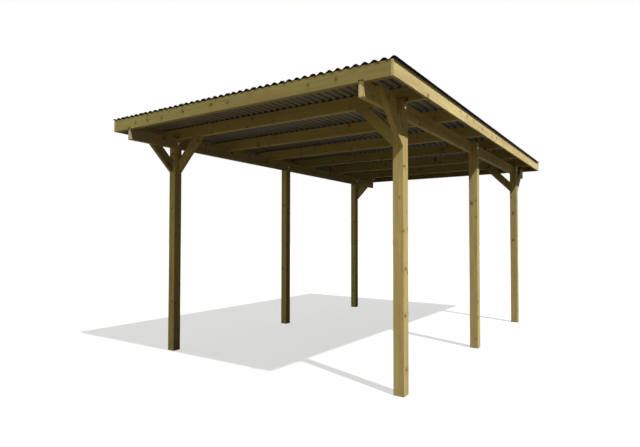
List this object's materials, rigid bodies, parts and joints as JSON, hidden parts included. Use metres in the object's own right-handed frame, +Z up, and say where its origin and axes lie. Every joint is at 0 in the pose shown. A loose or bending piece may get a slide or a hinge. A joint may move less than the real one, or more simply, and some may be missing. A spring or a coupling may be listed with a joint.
{
  "type": "carport",
  "caption": "Open single carport: square timber posts, side beams, cross rafters, edge boards and knee braces under a corrugated sheet roof that falls to the back.",
  "frame": {"origin": "centre of the footprint of the whole carport, on the ground", "axes": "+Y from the open front to the back, the way the roof falls; +X to the right seen from the front; +Z up"},
  "size_m": [3.19, 5.188, 2.446],
  "materials": {
    "post_timber": "planed, pressure treated, greenish",
    "beam_timber": "planed, pressure treated, greenish",
    "board_timber": "planed, pressure treated, greenish",
    "brace_timber": "planed, pressure treated, greenish",
    "roof_sheet": "matt black corrugated sheet",
    "zinc_steel": "zinc plated"
  },
  "bodies": {
    "root": {"post_front_left": "post_timber", "post_front_right": "post_timber", "post_middle_left": "post_timber", "post_middle_right": "post_timber", "post_rear_left": "post_timber", "post_rear_right": "post_timber", "beam_left": "beam_timber", "beam_right": "beam_timber", "rafter_1": "beam_timber", "rafter_2": "beam_timber", "rafter_3": "beam_timber", "rafter_4": "beam_timber", "rafter_5": "beam_timber", "rafter_6": "beam_timber", "front_board": "board_timber", "rear_board": "board_timber", "side_board_left": "board_timber", "side_board_right": "board_timber", "long_brace_front_left": "brace_timber", "long_brace_front_right": "brace_timber", "long_brace_rear_left": "brace_timber", "long_brace_rear_right": "brace_timber", "cross_brace_front_left": "brace_timber", "cross_brace_front_right": "brace_timber", "cross_brace_rear_left": "brace_timber", "cross_brace_rear_right": "brace_timber", "roof_sheet_1": "roof_sheet", "roof_sheet_2": "roof_sheet", "roof_sheet_3": "roof_sheet", "bolt_front_left": "zinc_steel", "bolt_front_right": "zinc_steel", "bolt_middle_left": "zinc_steel", "bolt_middle_right": "zinc_steel", "bolt_rear_left": "zinc_steel", "bolt_rear_right": "zinc_steel"}
  },
  "joints": []
}
